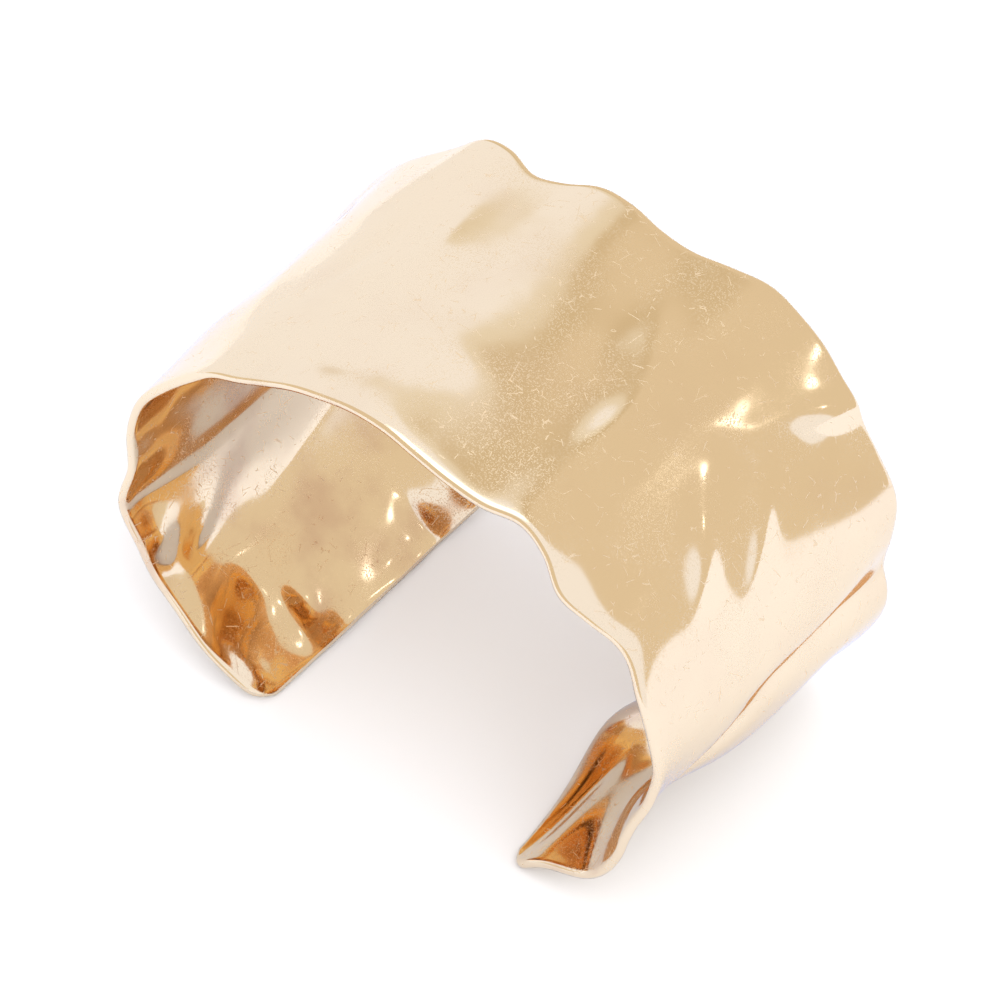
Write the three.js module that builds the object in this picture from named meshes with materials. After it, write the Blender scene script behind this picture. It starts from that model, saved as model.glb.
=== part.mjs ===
import * as THREE from 'three';

// An open cuff bracelet: one strip of brass sheet, hammered into soft folds and bent round
// the wrist. It stands on its two free ends with the opening down. Sizes are in millimetres,
// +Z is up, the wrist passes along Y, and -Y is the front. Angles are in degrees round the
// wrist from the crown: negative to the left end, positive to the right end.

// The oval that the middle of the sheet follows
const HALF_WIDTH = 31.5;
const HALF_HEIGHT = 26.3;

// The sheet
const THICKNESS = 1.0;
const EDGE_FULLNESS = 0.4;      // how far the rounded edge stands out past the flat sheet
const EDGE_THINNING = 0.75;     // thickness beside the edge, as a share of the sheet's
const CORNER_RADIUS = 2.2;      // rounding of the strip's four corners, seen flat
const LIP_ROLL = 0.12;          // the front edge is rolled in a little
const LIP_REACH = 0.8;
const FRONT_EDGE_REACH = 6;     // how far in from each long edge its own waves fade out
const BACK_EDGE_REACH = 9;
const MM_PER_DEGREE = 0.5;      // length of sheet in one degree round the wrist
const REST_FLAT_DEPTH = 0.35;   // the ends are eased flat by this much where they rest

// Divisions of the mesh
const STEPS_ROUND = 84;
const STEPS_ACROSS = 20;
const END_STEPS = [0.5, 1.4];   // extra rows beside each end, distances from it
const END_CLEARANCE = 2.0;      // the even rows begin this far from each end

// Sections of the strip, from the left end over the crown to the right end. front, middle and
// back are how far the sheet stands out from the oval; frontEdge and backEdge are the places
// of its two long edges along Y.
const SECTIONS = table(['angle', 'front', 'middle', 'back', 'frontEdge', 'backEdge'], [
  [-147, 2.1, 0.6, 0.8, -17.6, 18.3],
  [-134, 1, -0.3, 0, -18.4, 18.5],
  [-122, -0.1, 0.3, 0, -18.4, 18.5],
  [-110, 0.3, 0.2, 0.2, -18.9, 18.4],
  [-99, 0.6, -0.6, 0.5, -18.7, 18.1],
  [-89, -1.2, -0.6, 0.8, -18.3, 17.7],
  [-79, -0.7, -0.2, 0.7, -18.3, 17.5],
  [-69, -0.4, 0, 0.8, -18.4, 17.5],
  [-60, -0.7, 0, 0.6, -18.4, 17.7],
  [-51, -0.7, -0.2, 0.3, -18.4, 17.9],
  [-43, -0.4, -0.3, 0.3, -18.4, 18.3],
  [-36, -0.8, -0.3, 0.6, -18.4, 19.3],
  [-29, -0.7, -0.3, 0.2, -18.3, 18.7],
  [-21, -0.2, -0.2, -0.6, -18.3, 16.9],
  [-13, 0, -0.1, -0.6, -18.3, 17.1],
  [-5, 0.3, 0, -0.1, -18.4, 18],
  [3, 0.3, 0, -0.1, -18.6, 17.8],
  [11, 0, 0, -0.5, -18.9, 17.3],
  [19, -0.2, 0, -0.5, -19, 17.4],
  [27, -0.2, 0.1, 0.2, -18.6, 18.3],
  [34, 0.4, 0.45, 0.8, -17.6, 19.2],
  [41, 0.3, 0.6, 0.8, -18, 19.3],
  [48, -0.1, 0.2, 0.7, -19.1, 19.2],
  [55, 0.1, 0, 0.3, -18.5, 18.8],
  [62, 0.6, 0, -0.2, -17.6, 18.6],
  [70, 0.5, 0, 0.1, -18.5, 18.6],
  [78, 0.3, 0, 0.6, -18.7, 18.6],
  [86, 0, 0, -0.2, -18.6, 18.4],
  [94, -0.9, 0, -0.8, -18.4, 18.4],
  [104, -1.3, -0.4, 0.8, -18.3, 18.6],
  [115, 0.1, -1, 1.5, -18.3, 18.8],
  [127, 1, -1.6, 1.5, -18.4, 18.6],
  [138, 0, -1.1, 0.6, -18.2, 18.5],
  [149, 0.7, 0.6, 0.7, -18.3, 18.4],
]);

// Hammered folds and dents. Each is a soft ridge, or a hollow where its height is negative,
// with its middle at angle and across (along Y). length is its reach along its crest, side is
// how fast its flanks fall, crest is how round its top is, and turn is the way it runs:
// 0 round the wrist, 90 along Y.
const FOLDS = table(['angle', 'across', 'length', 'side', 'crest', 'turn', 'height'], [
  // left leg
  [-100, -6, 13, 1.5, 0.8, 90, 0.5],
  [-116, 2.5, 12, 2.5, 0.5, 75, 0.6],
  [-107, -16.5, 3.2, 3.5, 0.5, 0, -1],
  [-121, -15.5, 5.5, 3.5, 1, 8, 0.8],
  [-112, -11.5, 4.5, 0.8, 0.4, 61, -0.45],
  [-127, -10, 1.6, 1, 0.6, 0, -0.6],
  [-133, -12, 5, 2.5, 1, 90, -0.6],
  [-140, -16, 4, 3, 0.5, 0, -1.2],
  [-139, -9, 4, 1.5, 0.5, 0, 0.5],
  [-136, -7, 1.5, 0.8, 0.4, 0, -0.45],
  [-145, -5, 3, 1, 0.6, 70, -0.6],
  [-143, 4, 3, 1.2, 0.6, 75, 0.4],
  [-142, 17, 4.5, 3, 0.6, 0, -1.7],
  [-143, 9.5, 4, 1.5, 0.6, 0, 0.8],
  // left shoulder
  [-70, -9, 6, 1.5, 1, 30, 0.3],
  [-64, 9, 7, 1.5, 1, 72, -0.35],
  [-52, -5, 7, 1.3, 0.8, 105, 0.3],
  [-42, 13, 6, 1.5, 1, 60, 0.3],
  [-36, 1, 6, 1.5, 1, 80, -0.25],
  // crown
  [-18, -13.5, 6, 2, 1.5, 8, -0.5],
  [-22, 3, 5, 1.5, 1, 95, 0.35],
  [4, -7.5, 5, 2.5, 2, 0, 0.2],
  [21, 2, 4, 1.2, 1.5, 85, -0.2],
  [32.5, -1.5, 4.5, 1.2, 0.5, 84, 0.55],
  [28, 5, 6, 1.2, 0.6, 117, 0.12],
  // right shoulder
  [50, 6, 7, 2, 1.5, 40, 0.25],
  [50, -18.5, 4.5, 1, 0.3, 0, -0.45],
  [61, -18, 1.5, 1, 0.3, 0, -0.4],
  [59, -7, 9, 3, 3, 100, 0.5],
  [58, -4.8, 5, 1.2, 0.7, 132, 0.55],
  [64, 1.6, 5.5, 1.1, 0.5, 132, 0.5],
  [57, 15.5, 6, 1.4, 0.6, 67, 0.95],
  [57, 11, 2.2, 2.2, 0.8, 0, -0.25],
  // right leg
  [97, -7, 6.5, 0.8, 0.5, 109, -1.1],
  [94, 7, 9, 0.8, 0.5, 84, -1.3],
  [106, 2, 13, 3, 1.5, 100, 1],
  [111, -13, 6.5, 4, 2, 92, -2.1],
  [108, -18.4, 10, 1.1, 0.4, 0, 1.1],
  [124, 11, 6, 1.2, 0.8, 60, 0.4],
  [133, 3, 6, 1.2, 0.8, 100, -0.35],
  [149, 0, 9, 2, 12, 0, -2.8],
  [142, -11, 10, 1.2, 0.8, 113, 0.7],
]);

// Turns rows of numbers into rows with named columns.
function table(columns, rows) {
  return rows.map((row) => Object.fromEntries(columns.map((name, i) => [name, row[i]])));
}

// The section at a place along the strip, 0 at the left end and 1 at the right end: a smooth
// curve through the rows of the table.
function sectionAt(along) {
  const last = SECTIONS.length - 1;
  const place = along * last;
  const row = Math.min(Math.floor(place), last - 1);
  const f = place - row;
  const value = (name) => {
    const b = SECTIONS[row][name];
    const c = SECTIONS[row + 1][name];
    const a = row > 0 ? SECTIONS[row - 1][name] : 2 * b - c;
    const d = row + 2 <= last ? SECTIONS[row + 2][name] : 2 * c - b;
    return 0.5 * (2 * b + (c - a) * f + (2 * a - 5 * b + 4 * c - d) * f ** 2
      + (3 * b - a - 3 * c + d) * f ** 3);
  };
  return Object.fromEntries(Object.keys(SECTIONS[0]).map((name) => [name, value(name)]));
}

function ovalRadius(angle) {
  return (HALF_WIDTH * HALF_HEIGHT)
    / Math.hypot(HALF_HEIGHT * Math.sin(angle), HALF_WIDTH * Math.cos(angle));
}

// How far the folds and dents together lift the sheet at a place on it.
function foldHeight(degrees, y) {
  let height = 0;
  for (const fold of FOLDS) {
    const turn = THREE.MathUtils.degToRad(fold.turn);
    const round = (degrees - fold.angle) * MM_PER_DEGREE;
    const over = y - fold.across;
    const along = round * Math.cos(turn) + over * Math.sin(turn);
    const aside = over * Math.cos(turn) - round * Math.sin(turn);
    const flank = (Math.hypot(aside, fold.crest) - fold.crest) / fold.side;
    height += fold.height * Math.exp(-((along / fold.length) ** 2) - flank);
  }
  return height;
}

// How far a corner's rounding draws the long edges in, at a distance from the strip's end.
function cornerInset(fromEnd) {
  const rest = Math.max(CORNER_RADIUS - fromEnd, 0);
  return CORNER_RADIUS - Math.sqrt(CORNER_RADIUS ** 2 - rest ** 2);
}

const first = SECTIONS[0].angle;
const sweep = SECTIONS[SECTIONS.length - 1].angle - first;
const stripLength = sweep * MM_PER_DEGREE;

// A point on the middle of the sheet: along from 0 at the left end to 1 at the right end,
// across from 0 at the front edge to 1 at the back edge.
function sheetPoint(along, across) {
  const section = sectionAt(along);
  const fromEnd = Math.min(along, 1 - along) * stripLength;
  const inset = cornerInset(fromEnd);
  const front = section.frontEdge + inset;
  const back = section.backEdge - inset;
  const y = THREE.MathUtils.lerp(front, back, across);
  const fromFront = y - section.frontEdge;
  const fromBack = section.backEdge - y;
  const wave = section.middle
    + (section.front - section.middle) * Math.exp(-((fromFront / FRONT_EDGE_REACH) ** 2))
    + (section.back - section.middle) * Math.exp(-((fromBack / BACK_EDGE_REACH) ** 2));
  const roll = Math.exp(-(((y - front) / LIP_REACH) ** 2));
  const angle = THREE.MathUtils.degToRad(section.angle);
  const radius = ovalRadius(angle) + wave + foldHeight(section.angle, y) - LIP_ROLL * roll;
  return new THREE.Vector3(radius * Math.sin(angle), y, radius * Math.cos(angle));
}

// Rows of the mesh along the strip, with closer rows beside the two ends.
function rowsAlong() {
  const nearEnd = END_STEPS.map((step) => step / stripLength);
  const clear = END_CLEARANCE / stripLength;
  const even = Array.from({ length: STEPS_ROUND + 1 }, (_, i) => i / STEPS_ROUND);
  const between = even.filter((place) => place > clear && place < 1 - clear);
  return [0, ...nearEnd, ...between, ...nearEnd.map((place) => 1 - place).reverse(), 1];
}

// The closed body of the sheet: an outer and an inner skin half a thickness to each side of
// the middle, joined round the outline by a full, rounded edge.
function sheetGeometry() {
  const rows = rowsAlong();
  const lastRow = rows.length - 1;
  const step = 0.002;
  const positions = [];
  const indices = [];
  const outer = [];
  const inner = [];
  const edge = new Map();
  const add = (point) => positions.push(point.x, point.y, point.z) / 3 - 1;

  rows.forEach((along, i) => {
    outer.push([]);
    inner.push([]);
    for (let j = 0; j <= STEPS_ACROSS; j++) {
      const across = j / STEPS_ACROSS;
      const point = sheetPoint(along, across);
      const back = Math.max(along - step, 0);
      const ahead = Math.min(along + step, 1);
      const right = sheetPoint(ahead, across).sub(sheetPoint(back, across)).normalize();
      const wide = Math.min(across + step, 1);
      const narrow = Math.max(across - step, 0);
      const rear = sheetPoint(along, wide).sub(sheetPoint(along, narrow)).normalize();
      const normal = rear.clone().cross(right).negate().normalize();
      const sideRight = i === lastRow ? 1 : i === 0 ? -1 : 0;
      const sideRear = j === STEPS_ACROSS ? 1 : j === 0 ? -1 : 0;
      const atEdge = sideRight !== 0 || sideRear !== 0;
      const half = (THICKNESS / 2) * (atEdge ? EDGE_THINNING : 1);
      outer[i].push(add(point.clone().addScaledVector(normal, half)));
      inner[i].push(add(point.clone().addScaledVector(normal, -half)));
      if (atEdge) {
        const out = right.multiplyScalar(sideRight).addScaledVector(rear, sideRear).normalize();
        edge.set(`${i},${j}`, add(point.clone().addScaledVector(out, EDGE_FULLNESS)));
      }
    }
  });

  const quad = (a, b, c, d) => indices.push(a, b, c, a, c, d);
  for (let i = 0; i < lastRow; i++) {
    for (let j = 0; j < STEPS_ACROSS; j++) {
      quad(outer[i][j], outer[i + 1][j], outer[i + 1][j + 1], outer[i][j + 1]);
      quad(inner[i][j], inner[i][j + 1], inner[i + 1][j + 1], inner[i + 1][j]);
    }
  }
  const outline = [];
  for (let i = 0; i < lastRow; i++) outline.push([i, 0]);
  for (let j = 0; j < STEPS_ACROSS; j++) outline.push([lastRow, j]);
  for (let i = lastRow; i > 0; i--) outline.push([i, STEPS_ACROSS]);
  for (let j = STEPS_ACROSS; j > 0; j--) outline.push([0, j]);
  outline.forEach(([i, j], n) => {
    const [k, l] = outline[(n + 1) % outline.length];
    const here = edge.get(`${i},${j}`);
    const next = edge.get(`${k},${l}`);
    quad(outer[k][l], outer[i][j], here, next);
    quad(next, here, inner[i][j], inner[k][l]);
  });

  const geometry = new THREE.BufferGeometry();
  geometry.setAttribute('position', new THREE.Float32BufferAttribute(positions, 3));
  geometry.setIndex(indices);
  return geometry;
}

// Stands the body on its ends: its lowest places are eased flat at height 0, and the middle
// of its box comes over the origin.
function standOnEnds(geometry) {
  geometry.computeBoundingBox();
  const { min, max } = geometry.boundingBox;
  geometry.translate(-(min.x + max.x) / 2, -(min.y + max.y) / 2, -min.z - REST_FLAT_DEPTH);
  const position = geometry.attributes.position;
  for (let n = 0; n < position.count; n++) {
    position.setZ(n, Math.max(position.getZ(n), 0));
  }
  geometry.computeVertexNormals();
  return geometry;
}

const polishedGold = new THREE.MeshStandardMaterial({
  color: 0xe3bd83,
  roughness: 0.14,
  metalness: 1.0,
});

const cuff = new THREE.Mesh(standOnEnds(sheetGeometry()), polishedGold);
cuff.name = 'cuff';

const bracelet = new THREE.Group();
bracelet.add(cuff);

export default bracelet;
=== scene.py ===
import bmesh
import bpy
import math
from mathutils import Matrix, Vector


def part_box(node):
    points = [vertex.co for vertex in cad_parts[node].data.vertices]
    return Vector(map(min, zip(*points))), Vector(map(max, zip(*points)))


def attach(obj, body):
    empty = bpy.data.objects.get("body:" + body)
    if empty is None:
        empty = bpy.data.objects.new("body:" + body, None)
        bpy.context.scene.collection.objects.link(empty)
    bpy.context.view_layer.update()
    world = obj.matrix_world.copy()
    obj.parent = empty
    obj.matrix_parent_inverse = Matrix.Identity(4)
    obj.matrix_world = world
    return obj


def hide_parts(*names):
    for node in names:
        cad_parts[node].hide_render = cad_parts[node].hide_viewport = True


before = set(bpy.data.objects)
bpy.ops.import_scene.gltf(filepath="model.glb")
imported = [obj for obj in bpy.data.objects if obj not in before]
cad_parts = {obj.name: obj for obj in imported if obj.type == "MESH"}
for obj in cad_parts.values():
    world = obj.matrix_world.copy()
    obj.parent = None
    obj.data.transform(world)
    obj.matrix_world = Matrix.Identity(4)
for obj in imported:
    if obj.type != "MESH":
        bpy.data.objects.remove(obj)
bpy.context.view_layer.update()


# The camera, at the photograph's angle to the cuff as it stands on its two ends. Its places
# are in metres from the middle of the cuff's oval, which lies on the wrist's axis.
CAMERA_AZIMUTH = math.radians(38)
CAMERA_ELEVATION = math.radians(47)
CAMERA_DISTANCE = 0.440
CAMERA_AIM = Vector((-0.01247, 0.01562, -0.02031))
FILM_WIDTH = 36.0
PIXELS_PER_METRE = 10000
FRAME_PIXELS = 1000


def make_camera(oval_middle):
    away = Vector((
        math.sin(CAMERA_AZIMUTH) * math.cos(CAMERA_ELEVATION),
        -math.cos(CAMERA_AZIMUTH) * math.cos(CAMERA_ELEVATION),
        math.sin(CAMERA_ELEVATION),
    ))
    data = bpy.data.cameras.new("camera")
    data.sensor_width = FILM_WIDTH
    data.lens = FILM_WIDTH * PIXELS_PER_METRE * CAMERA_DISTANCE / FRAME_PIXELS
    data.clip_start = 0.01
    camera = bpy.data.objects.new("camera", data)
    camera.location = oval_middle + CAMERA_AIM + away * CAMERA_DISTANCE
    camera.rotation_euler = (math.pi / 2 - CAMERA_ELEVATION, 0, CAMERA_AZIMUTH)
    bpy.context.collection.objects.link(camera)
    bpy.context.scene.camera = camera


# The cuff: one strip of brass sheet a millimetre thick, hammered over a soft block into
# folds and dents, bent round a wrist mandrel and left open between its two ends. Sizes are
# in millimetres, and angles in degrees round the wrist from the crown, less than 0 to the left.
MM = 0.001
HALF_WIDTH = 31.5
HALF_HEIGHT = 26.3
THICKNESS = 1.0
CORNER_RADIUS = 2.2
LIP_ROLL = 0.12
LIP_REACH = 0.8
FRONT_EDGE_REACH = 6
BACK_EDGE_REACH = 9
MM_PER_DEGREE = 0.5
STEPS_ROUND = 200
STEPS_ACROSS = 50

# angle, front, middle and back lift of the sheet off the oval, front edge, back edge
SECTIONS = [
    (-147, 2.1, 0.6, 0.8, -17.6, 18.3),
    (-134, 1, -0.3, 0, -18.4, 18.5),
    (-122, -0.1, 0.3, 0, -18.4, 18.5),
    (-110, 0.3, 0.2, 0.2, -18.9, 18.4),
    (-99, 0.6, -0.6, 0.5, -18.7, 18.1),
    (-89, -1.2, -0.6, 0.8, -18.3, 17.7),
    (-79, -0.7, -0.2, 0.7, -18.3, 17.5),
    (-69, -0.4, 0, 0.8, -18.4, 17.5),
    (-60, -0.7, 0, 0.6, -18.4, 17.7),
    (-51, -0.7, -0.2, 0.3, -18.4, 17.9),
    (-43, -0.4, -0.3, 0.3, -18.4, 18.3),
    (-36, -0.8, -0.3, 0.6, -18.4, 19.3),
    (-29, -0.7, -0.3, 0.2, -18.3, 18.7),
    (-21, -0.2, -0.2, -0.6, -18.3, 16.9),
    (-13, 0, -0.1, -0.6, -18.3, 17.1),
    (-5, 0.3, 0, -0.1, -18.4, 18),
    (3, 0.3, 0, -0.1, -18.6, 17.8),
    (11, 0, 0, -0.5, -18.9, 17.3),
    (19, -0.2, 0, -0.5, -19, 17.4),
    (27, -0.2, 0.1, 0.2, -18.6, 18.3),
    (34, 0.4, 0.45, 0.8, -17.6, 19.2),
    (41, 0.3, 0.6, 0.8, -18, 19.3),
    (48, -0.1, 0.2, 0.7, -19.1, 19.2),
    (55, 0.1, 0, 0.3, -18.5, 18.8),
    (62, 0.6, 0, -0.2, -17.6, 18.6),
    (70, 0.5, 0, 0.1, -18.5, 18.6),
    (78, 0.3, 0, 0.6, -18.7, 18.6),
    (86, 0, 0, -0.2, -18.6, 18.4),
    (94, -0.9, 0, -0.8, -18.4, 18.4),
    (104, -1.3, -0.4, 0.8, -18.3, 18.6),
    (115, 0.1, -1, 1.5, -18.3, 18.8),
    (127, 1, -1.6, 1.5, -18.4, 18.6),
    (138, 0, -1.1, 0.6, -18.2, 18.5),
    (149, 0.7, 0.6, 0.7, -18.3, 18.4),
]

# angle, across, length, side, crest, turn, height
FOLDS = [
    # left leg
    (-100, -6, 13, 1.5, 0.8, 90, 0.5),
    (-116, 2.5, 12, 2.5, 0.5, 75, 0.6),
    (-107, -16.5, 3.2, 3.5, 0.5, 0, -1),
    (-121, -15.5, 5.5, 3.5, 1, 8, 0.8),
    (-112, -11.5, 4.5, 0.8, 0.4, 61, -0.45),
    (-127, -10, 1.6, 1, 0.6, 0, -0.6),
    (-133, -12, 5, 2.5, 1, 90, -0.6),
    (-140, -16, 4, 3, 0.5, 0, -1.2),
    (-139, -9, 4, 1.5, 0.5, 0, 0.5),
    (-136, -7, 1.5, 0.8, 0.4, 0, -0.45),
    (-145, -5, 3, 1, 0.6, 70, -0.6),
    (-143, 4, 3, 1.2, 0.6, 75, 0.4),
    (-142, 17, 4.5, 3, 0.6, 0, -1.7),
    (-143, 9.5, 4, 1.5, 0.6, 0, 0.8),
    # left shoulder
    (-70, -9, 6, 1.5, 1, 30, 0.3),
    (-64, 9, 7, 1.5, 1, 72, -0.35),
    (-52, -5, 7, 1.3, 0.8, 105, 0.3),
    (-42, 13, 6, 1.5, 1, 60, 0.3),
    (-36, 1, 6, 1.5, 1, 80, -0.25),
    # crown
    (-18, -13.5, 6, 2, 1.5, 8, -0.5),
    (-22, 3, 5, 1.5, 1, 95, 0.35),
    (4, -7.5, 5, 2.5, 2, 0, 0.2),
    (21, 2, 4, 1.2, 1.5, 85, -0.2),
    (32.5, -1.5, 4.5, 1.2, 0.5, 84, 0.55),
    (28, 5, 6, 1.2, 0.6, 117, 0.12),
    # right shoulder
    (50, 6, 7, 2, 1.5, 40, 0.25),
    (50, -18.5, 4.5, 1, 0.3, 0, -0.45),
    (61, -18, 1.5, 1, 0.3, 0, -0.4),
    (59, -7, 9, 3, 3, 100, 0.5),
    (58, -4.8, 5, 1.2, 0.7, 132, 0.55),
    (64, 1.6, 5.5, 1.1, 0.5, 132, 0.5),
    (57, 15.5, 6, 1.4, 0.6, 67, 0.95),
    (57, 11, 2.2, 2.2, 0.8, 0, -0.25),
    # right leg
    (97, -7, 6.5, 0.8, 0.5, 109, -1.1),
    (94, 7, 9, 0.8, 0.5, 84, -1.3),
    (106, 2, 13, 3, 1.5, 100, 1),
    (111, -13, 6.5, 4, 2, 92, -2.1),
    (108, -18.4, 10, 1.1, 0.4, 0, 1.1),
    (124, 11, 6, 1.2, 0.8, 60, 0.4),
    (133, 3, 6, 1.2, 0.8, 100, -0.35),
    (149, 0, 9, 2, 12, 0, -2.8),
    (142, -11, 10, 1.2, 0.8, 113, 0.7),
]


def section_at(along):
    """The row of the strip at a place on it, 0 at the left end and 1 at the right end."""
    last = len(SECTIONS) - 1
    row = min(int(along * last), last - 1)
    f = along * last - row
    values = []
    for column in range(len(SECTIONS[0])):
        b = SECTIONS[row][column]
        c = SECTIONS[row + 1][column]
        a = SECTIONS[row - 1][column] if row > 0 else 2 * b - c
        d = SECTIONS[row + 2][column] if row + 2 <= last else 2 * c - b
        values.append(0.5 * (
            2 * b + (c - a) * f + (2 * a - 5 * b + 4 * c - d) * f ** 2
            + (3 * b - a - 3 * c + d) * f ** 3
        ))
    return values


def fold_height(degrees, y):
    """How far the folds and dents together lift the sheet at a place on it."""
    height = 0
    for angle, across, length, side, crest, turn, lift in FOLDS:
        turned = math.radians(turn)
        around = (degrees - angle) * MM_PER_DEGREE
        over = y - across
        along = around * math.cos(turned) + over * math.sin(turned)
        aside = over * math.cos(turned) - around * math.sin(turned)
        flank = (math.hypot(aside, crest) - crest) / side
        height += lift * math.exp(-((along / length) ** 2) - flank)
    return height


STRIP_LENGTH = (SECTIONS[-1][0] - SECTIONS[0][0]) * MM_PER_DEGREE


def sheet_point(along, across):
    """A point on the middle of the sheet, in millimetres from the middle of the oval."""
    degrees, front_lift, middle_lift, back_lift, front_edge, back_edge = section_at(along)
    rest = max(CORNER_RADIUS - min(along, 1 - along) * STRIP_LENGTH, 0)
    inset = CORNER_RADIUS - math.sqrt(CORNER_RADIUS ** 2 - rest ** 2)
    front = front_edge + inset
    back = back_edge - inset
    y = front + (back - front) * across
    wave = (
        middle_lift
        + (front_lift - middle_lift) * math.exp(-(((y - front_edge) / FRONT_EDGE_REACH) ** 2))
        + (back_lift - middle_lift) * math.exp(-(((back_edge - y) / BACK_EDGE_REACH) ** 2))
    )
    roll = math.exp(-(((y - front) / LIP_REACH) ** 2))
    angle = math.radians(degrees)
    oval = HALF_WIDTH * HALF_HEIGHT / math.hypot(
        HALF_HEIGHT * math.sin(angle), HALF_WIDTH * math.cos(angle)
    )
    radius = oval + wave + fold_height(degrees, y) - LIP_ROLL * roll
    return Vector((radius * math.sin(angle), y, radius * math.cos(angle)))


def make_cuff():
    sheet = bmesh.new()
    bmesh.ops.create_grid(sheet, x_segments=STEPS_ROUND, y_segments=STEPS_ACROSS, size=1)
    for vert in sheet.verts:
        vert.co = sheet_point((vert.co.x + 1) / 2, (vert.co.y + 1) / 2) * MM
    bmesh.ops.recalc_face_normals(sheet, faces=sheet.faces)
    crown = max(sheet.verts, key=lambda vert: vert.co.z)
    if crown.normal.z < 0:
        bmesh.ops.reverse_faces(sheet, faces=sheet.faces)
    sheet.normal_update()

    xs = [vert.co.x for vert in sheet.verts]
    ys = [vert.co.y for vert in sheet.verts]
    top = max(vert.co.z for vert in sheet.verts)
    cad_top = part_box("cuff")[1][2]
    oval_middle = Vector((
        -(min(xs) + max(xs)) / 2,
        -(min(ys) + max(ys)) / 2,
        cad_top - top - THICKNESS * MM / 2,
    ))
    for vert in sheet.verts:
        vert.co += oval_middle + vert.normal * THICKNESS * MM / 2
    sheet.normal_update()
    bmesh.ops.solidify(sheet, geom=sheet.faces[:], thickness=THICKNESS * MM)
    for vert in sheet.verts:
        vert.co.z = max(vert.co.z, 0)
    bmesh.ops.recalc_face_normals(sheet, faces=sheet.faces)
    for face in sheet.faces:
        face.smooth = True
    mesh = bpy.data.meshes.new("hammered_cuff")
    sheet.to_mesh(mesh)
    sheet.free()
    cuff = bpy.data.objects.new("hammered_cuff", mesh)
    bpy.context.collection.objects.link(cuff)
    smooth = cuff.modifiers.new("polish", "SUBSURF")
    smooth.levels = 1
    smooth.render_levels = 1
    return cuff, oval_middle


# The finish: thin gold plating over the brass, polished to a mirror after hammering, with the
# hammer's soft orange peel left in it. Wear has given it hairline scratches, specks and a fine
# grain, and the gold is browner in cloudy patches, faintly outside and much more on the inside.
GOLD = (0.96, 0.69, 0.37, 1)
CLOUDED_GOLD = (0.78, 0.50, 0.28, 1)
GRAZING_TINT = (0.99, 0.93, 0.8, 1)
MIRROR_ROUGHNESS = 0.08
CLOUD_ROUGHNESS = 0.05
CLOUD_SIZE = 9
CLOUDING_OUTSIDE = 0.12
CLOUDING_MORE_INSIDE = 0.7
PEEL_SIZE = 3.5
PEEL_DEPTH = 0.012
GRAIN_SIZE = 0.16
GRAIN_ROUGHNESS = 0.2
WORN_PATCH_SIZE = 6
MARK_ROUGHNESS = 0.35
SCRATCH_SPACING = 2.2
SCRATCH_WIDTH = 0.05
SCRATCH_BEND = 3.2
COARSER_SCRATCHES = 1.7
SPECK_SPACING = 1.5
SPECK_RADIUS = 0.07
CELLS_WITHOUT_SPECK = 0.55


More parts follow.
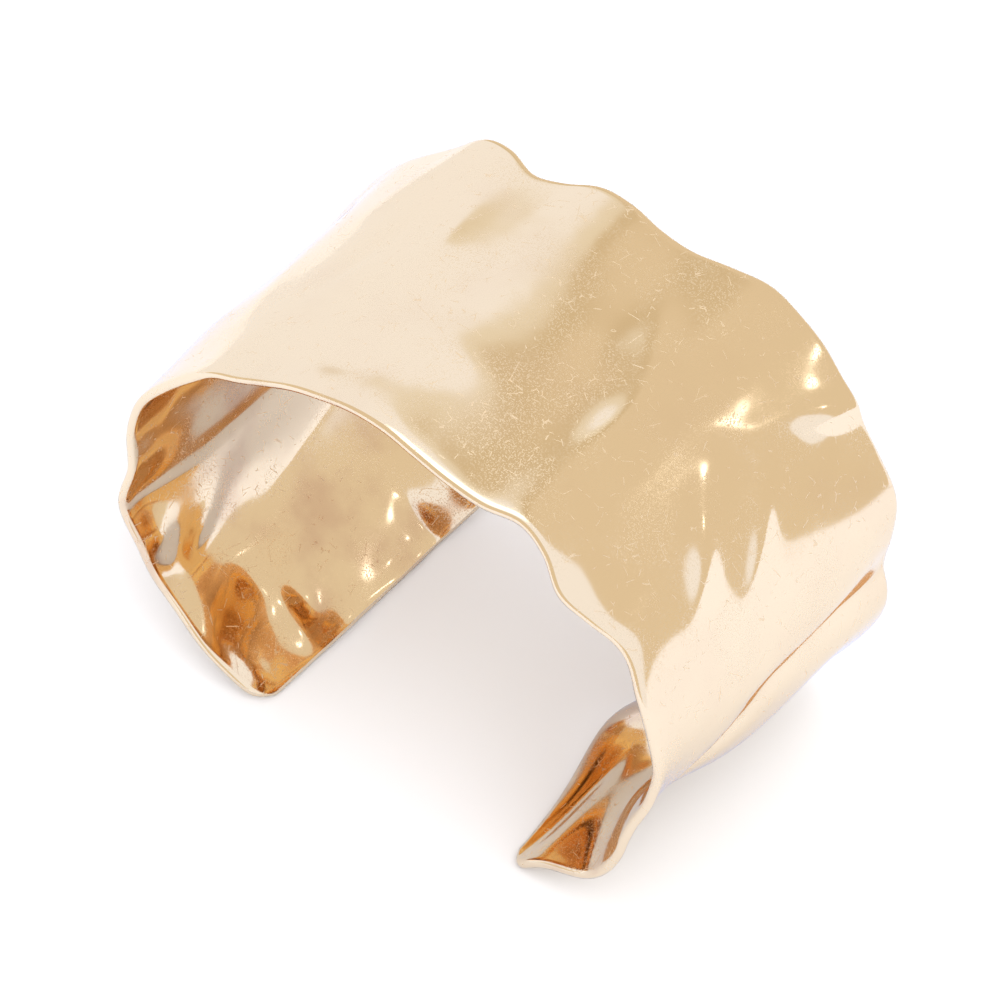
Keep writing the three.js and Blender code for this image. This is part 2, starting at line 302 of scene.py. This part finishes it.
def make_polished_gold(oval_middle):
    material = bpy.data.materials.new("polished_gold")
    material.use_nodes = True
    nodes = material.node_tree.nodes
    links = material.node_tree.links
    surface = nodes["Principled BSDF"]
    place = nodes.new("ShaderNodeTexCoord").outputs["Object"]

    def between(value, low, high):
        step = nodes.new("ShaderNodeMapRange")
        step.interpolation_type = "SMOOTHSTEP"
        step.inputs["From Min"].default_value = low
        step.inputs["From Max"].default_value = high
        links.new(value, step.inputs["Value"])
        return step.outputs["Result"]

    def math_node(operation, a, b):
        node = nodes.new("ShaderNodeMath")
        node.operation = operation
        for socket, value in zip(node.inputs, (a, b)):
            if isinstance(value, (int, float)):
                socket.default_value = value
            else:
                links.new(value, socket)
        return node.outputs["Value"]

    def moved(offset):
        mapping = nodes.new("ShaderNodeMapping")
        mapping.inputs["Location"].default_value = offset
        links.new(place, mapping.inputs["Vector"])
        return mapping.outputs["Vector"]

    def noise(size, detail, where=place):
        texture = nodes.new("ShaderNodeTexNoise")
        texture.inputs["Scale"].default_value = 1 / (size * MM)
        texture.inputs["Detail"].default_value = detail
        links.new(where, texture.inputs["Vector"])
        return texture

    def cells(spacing, feature, where):
        texture = nodes.new("ShaderNodeTexVoronoi")
        texture.feature = feature
        texture.inputs["Scale"].default_value = 1 / (spacing * MM)
        links.new(where, texture.inputs["Vector"])
        return texture

    def scratches(offset, spacing):
        start = moved(offset)
        bend = nodes.new("ShaderNodeVectorMath")
        bend.operation = "MULTIPLY_ADD"
        links.new(noise(3 * spacing, 0, start).outputs["Color"], bend.inputs[0])
        bend.inputs[1].default_value = [SCRATCH_BEND * MM] * 3
        links.new(start, bend.inputs[2])
        edge = cells(spacing, "DISTANCE_TO_EDGE", bend.outputs["Vector"]).outputs["Distance"]
        width = SCRATCH_WIDTH / spacing
        line = math_node("SUBTRACT", 1, between(edge, width / 3, width))
        short = between(noise(spacing / 3, 0, start).outputs["Fac"], 0.6, 0.68)
        return math_node("MULTIPLY", line, short)

    from_axis = nodes.new("ShaderNodeVectorMath")
    from_axis.operation = "MULTIPLY_ADD"
    links.new(place, from_axis.inputs[0])
    from_axis.inputs[1].default_value = (1, 0, 1)
    from_axis.inputs[2].default_value = (0, 0, -oval_middle.z)
    outward = nodes.new("ShaderNodeVectorMath")
    outward.operation = "DOT_PRODUCT"
    links.new(from_axis.outputs["Vector"], outward.inputs[0])
    links.new(nodes.new("ShaderNodeNewGeometry").outputs["Normal"], outward.inputs[1])
    inside = math_node("LESS_THAN", outward.outputs["Value"], 0)

    # Browner gold in cloudy patches: faint on the outside, much stronger on the inner surface.
    cloud = between(noise(CLOUD_SIZE, 4).outputs["Fac"], 0.48, 0.72)
    clouding = math_node("MULTIPLY", inside, CLOUDING_MORE_INSIDE)
    clouding = math_node("ADD", clouding, CLOUDING_OUTSIDE)
    brown_cloud_share = math_node("MULTIPLY", cloud, clouding)
    grain = between(noise(GRAIN_SIZE, 2).outputs["Fac"], 0.5, 0.62)
    worn = between(noise(WORN_PATCH_SIZE, 1, moved((0.3, 0, 0))).outputs["Fac"], 0.3, 0.6)
    speck_cells = cells(SPECK_SPACING, "F1", moved((0, 0.2, 0)))
    reach = SPECK_RADIUS / SPECK_SPACING
    dot = math_node("SUBTRACT", 1, between(speck_cells.outputs["Distance"], reach / 2, reach))
    chosen = nodes.new("ShaderNodeSeparateColor")
    links.new(speck_cells.outputs["Color"], chosen.inputs["Color"])
    chosen = math_node("GREATER_THAN", chosen.outputs["Red"], CELLS_WITHOUT_SPECK)
    specks = math_node("MULTIPLY", dot, chosen)
    hairlines = math_node(
        "MAXIMUM",
        scratches((0.1, 0, 0), SCRATCH_SPACING),
        scratches((0, 0.1, 0), COARSER_SCRATCHES * SCRATCH_SPACING),
    )
    marks = math_node("MAXIMUM", hairlines, specks)

    colour = nodes.new("ShaderNodeMix")
    colour.data_type = "RGBA"
    colour.inputs["A"].default_value = GOLD
    colour.inputs["B"].default_value = CLOUDED_GOLD
    links.new(brown_cloud_share, colour.inputs["Factor"])
    links.new(colour.outputs["Result"], surface.inputs["Base Color"])

    rough = math_node("MULTIPLY", cloud, CLOUD_ROUGHNESS)
    rough = math_node("ADD", MIRROR_ROUGHNESS, rough)
    for share, roughness in (
        (math_node("MULTIPLY", grain, worn), GRAIN_ROUGHNESS),
        (marks, MARK_ROUGHNESS),
    ):
        rough = math_node("ADD", rough, math_node("MULTIPLY", share, roughness))
    links.new(rough, surface.inputs["Roughness"])

    peel = nodes.new("ShaderNodeBump")
    peel.inputs["Distance"].default_value = PEEL_DEPTH * MM
    links.new(noise(PEEL_SIZE, 1).outputs["Fac"], peel.inputs["Height"])
    links.new(peel.outputs["Normal"], surface.inputs["Normal"])

    surface.inputs["Metallic"].default_value = 1.0
    surface.inputs["Specular Tint"].default_value = GRAZING_TINT
    return material


cuff, oval_middle = make_cuff()
cuff.data.materials.append(make_polished_gold(oval_middle))
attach(cuff, "root")
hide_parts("cuff")
make_camera(oval_middle)


# The floor: a plain matt white tabletop, cut round and a little wider than the picture. Where
# the gold mirrors it straight, its colour is a painted reflection, a cool tint that keeps the
# gold's reflection of it pale; where it is seen by way of a second fold, its colour is painted
# shade, darker and warmer, for the floor in the cuff's shadow under the arch.
FLOOR_RADIUS = 0.30
FLOOR_EDGES = 96
FLOOR_WHITE = (0.72, 0.72, 0.72, 1)
# Painted reflection: the floor's colour where the gold mirrors it straight, a cool tint that
# keeps that reflection pale.
FLOOR_PAINTED_REFLECTION_TINT = (0.56, 0.67, 0.98, 1)
# Painted shade: the floor's colour where it is seen by way of a second fold, darker and warm,
# standing for the cuff's shadow under the arch.
FLOOR_PAINTED_SHADE_SECOND_FOLD = (0.42, 0.36, 0.36, 1)
BETWEEN_ONE_AND_TWO = 1.5


def make_floor():
    plane = bmesh.new()
    bmesh.ops.create_circle(plane, cap_ends=True, radius=FLOOR_RADIUS, segments=FLOOR_EDGES)
    mesh = bpy.data.meshes.new("floor")
    plane.to_mesh(mesh)
    plane.free()
    floor = bpy.data.objects.new("floor", mesh)
    bpy.context.collection.objects.link(floor)
    material = bpy.data.materials.new("tabletop")
    material.use_nodes = True
    nodes = material.node_tree.nodes
    links = material.node_tree.links
    surface = nodes["Principled BSDF"]
    rays = nodes.new("ShaderNodeLightPath")
    twice = nodes.new("ShaderNodeMath")
    twice.operation = "GREATER_THAN"
    twice.inputs[1].default_value = BETWEEN_ONE_AND_TWO
    links.new(rays.outputs["Glossy Depth"], twice.inputs[0])
    # Painted reflection and painted shade: the floor's colour as the gold mirrors it, darker
    # again by way of a second fold.
    again = nodes.new("ShaderNodeMix")
    again.data_type = "RGBA"
    again.inputs["A"].default_value = FLOOR_PAINTED_REFLECTION_TINT
    again.inputs["B"].default_value = FLOOR_PAINTED_SHADE_SECOND_FOLD
    links.new(twice.outputs["Value"], again.inputs["Factor"])
    paint = nodes.new("ShaderNodeMix")
    paint.data_type = "RGBA"
    paint.inputs["B"].default_value = FLOOR_WHITE
    links.new(rays.outputs["Is Camera Ray"], paint.inputs["Factor"])
    links.new(again.outputs["Result"], paint.inputs["A"])
    links.new(paint.outputs["Result"], surface.inputs["Base Color"])
    surface.inputs["Roughness"].default_value = 0.9
    surface.inputs["Specular IOR Level"].default_value = 0.0
    floor.data.materials.append(material)


make_floor()


# The studio: a pale tent all round that the polish mirrors, with a dim grey wall behind the
# cuff and the same wall opposite it, each up to a slanting top edge, and a small lamp high on
# the first. The floor is lit mostly by a softbox over the cuff's front right.
TENT = (0.96, 1.13, 1.67, 1)
TENT_MIRRORED_TWICE = (0.85, 0.85, 0.80, 1)
TENT_TOP_MIRRORED_TWICE = (0.45, 0.34, 0.3, 1)
WALL = (0.77, 0.77, 0.81, 1)
WALL_BRIGHT_BAND = (0.83, 0.90, 1.07, 1)
WALL_DARK_BAND = (0.67, 0.65, 0.63, 1)
WALL_TOP_FACING = Vector((0.52, 0.76, -0.38)).normalized()
WALL_RIGHT_AZIMUTH = math.radians(64.5)
WALL_LEFT_AZIMUTH = math.radians(-48)
WALL_FOOT = -0.16
BACKDROP = (1.2, 1.2, 1.2, 1)
LAMP_AZIMUTH = math.radians(45.8)
LAMP_ELEVATION = math.radians(29.7)
LAMP_SPREAD = math.radians(2.6)
LAMP_GLOW = (3.2, 3.6, 4.6, 1)
SIDE_EDGE = (-0.02, 0.03)
TOP_EDGE = (-0.055, -0.025)
BRIGHT_BAND_END = (0.0, 0.04)
DARK_BAND_END = (0.06, 0.14)
FOOT_BLUR = 0.03
TENT_TOP_EDGE = (0.8, 0.9)
TOP_BOX_EDGE = (0.93, 0.96)
TOP_BOX_GLOW = (2.0, 2.4, 3.2, 1)
SOFTBOX_GLOW = (5.0, 5.0, 5.0, 1)
ROOM_GLOW = (1.52, 1.45, 1.42, 1)
SOFTBOX_WAY = Vector((0.6, -0.3, 0.74)).normalized()
SOFTBOX_EDGE = (0.8, 0.97)


def make_studio():
    world = bpy.data.worlds.new("studio")
    bpy.context.scene.world = world
    world.use_nodes = True
    nodes = world.node_tree.nodes
    links = world.node_tree.links
    nodes.clear()
    way = nodes.new("ShaderNodeTexCoord").outputs["Generated"]
    rays = nodes.new("ShaderNodeLightPath")

    def between(value, low, high):
        step = nodes.new("ShaderNodeMapRange")
        step.interpolation_type = "SMOOTHSTEP"
        step.inputs["From Min"].default_value = low
        step.inputs["From Max"].default_value = high
        links.new(value, step.inputs["Value"])
        return step.outputs["Result"]

    def facing(direction, seen_way=way):
        dot = nodes.new("ShaderNodeVectorMath")
        dot.operation = "DOT_PRODUCT"
        links.new(seen_way, dot.inputs[0])
        dot.inputs[1].default_value = direction
        return dot.outputs["Value"]

    def times(a, b):
        product = nodes.new("ShaderNodeMath")
        product.operation = "MULTIPLY"
        links.new(a, product.inputs[0])
        links.new(b, product.inputs[1])
        return product.outputs["Value"]

    def mix(share, a, b):
        blend = nodes.new("ShaderNodeMix")
        blend.data_type = "RGBA"
        links.new(share, blend.inputs["Factor"])
        for socket, value in zip((blend.inputs["A"], blend.inputs["B"]), (a, b)):
            if isinstance(value, tuple):
                socket.default_value = value
            else:
                links.new(value, socket)
        return blend.outputs["Result"]

    parts = nodes.new("ShaderNodeSeparateXYZ")
    links.new(way, parts.inputs["Vector"])
    front_or_back = nodes.new("ShaderNodeMath")
    front_or_back.operation = "SIGN"
    links.new(parts.outputs["Y"], front_or_back.inputs[0])
    half_turn = nodes.new("ShaderNodeCombineXYZ")
    links.new(front_or_back.outputs["Value"], half_turn.inputs["X"])
    links.new(front_or_back.outputs["Value"], half_turn.inputs["Y"])
    half_turn.inputs["Z"].default_value = 1
    turned = nodes.new("ShaderNodeVectorMath")
    turned.operation = "MULTIPLY"
    links.new(way, turned.inputs[0])
    links.new(half_turn.outputs["Vector"], turned.inputs[1])
    either_way = turned.outputs["Vector"]

    up = facing((0, 0, 1))
    under_top = facing(WALL_TOP_FACING, either_way)
    right_side = (-math.cos(WALL_RIGHT_AZIMUTH), math.sin(WALL_RIGHT_AZIMUTH), 0)
    left_side = (math.cos(WALL_LEFT_AZIMUTH), -math.sin(WALL_LEFT_AZIMUTH), 0)
    lamp_way = (
        math.sin(LAMP_AZIMUTH) * math.cos(LAMP_ELEVATION),
        math.cos(LAMP_AZIMUTH) * math.cos(LAMP_ELEVATION),
        math.sin(LAMP_ELEVATION),
    )
    wall_height = times(
        between(under_top, *TOP_EDGE),
        between(up, WALL_FOOT, WALL_FOOT + FOOT_BLUR),
    )
    wall_width = times(
        between(facing(right_side, either_way), *SIDE_EDGE),
        between(facing(left_side, either_way), *SIDE_EDGE),
    )
    wall_share = times(wall_height, wall_width)
    wall = mix(between(under_top, *BRIGHT_BAND_END), WALL_BRIGHT_BAND, WALL_DARK_BAND)
    wall = mix(between(under_top, *DARK_BAND_END), wall, WALL)
    again = between(rays.outputs["Glossy Depth"], 1.4, 1.6)
    inner = mix(between(up, *TENT_TOP_EDGE), TENT_MIRRORED_TWICE, TENT_TOP_MIRRORED_TWICE)
    tent = mix(between(up, *TOP_BOX_EDGE), TENT, TOP_BOX_GLOW)
    tent = mix(again, tent, inner)
    lamp = between(facing(lamp_way), math.cos(LAMP_SPREAD), 1)
    mirrored = mix(lamp, mix(wall_share, tent, wall), LAMP_GLOW)
    on_floor = mix(between(facing(SOFTBOX_WAY), *SOFTBOX_EDGE), ROOM_GLOW, SOFTBOX_GLOW)
    lit = mix(rays.outputs["Is Diffuse Ray"], mirrored, on_floor)
    seen = mix(rays.outputs["Is Camera Ray"], lit, BACKDROP)
    light = nodes.new("ShaderNodeBackground")
    links.new(seen, light.inputs["Color"])
    out = nodes.new("ShaderNodeOutputWorld")
    links.new(light.outputs["Background"], out.inputs["Surface"])


make_studio()
bpy.context.scene.view_settings.view_transform = "Standard"
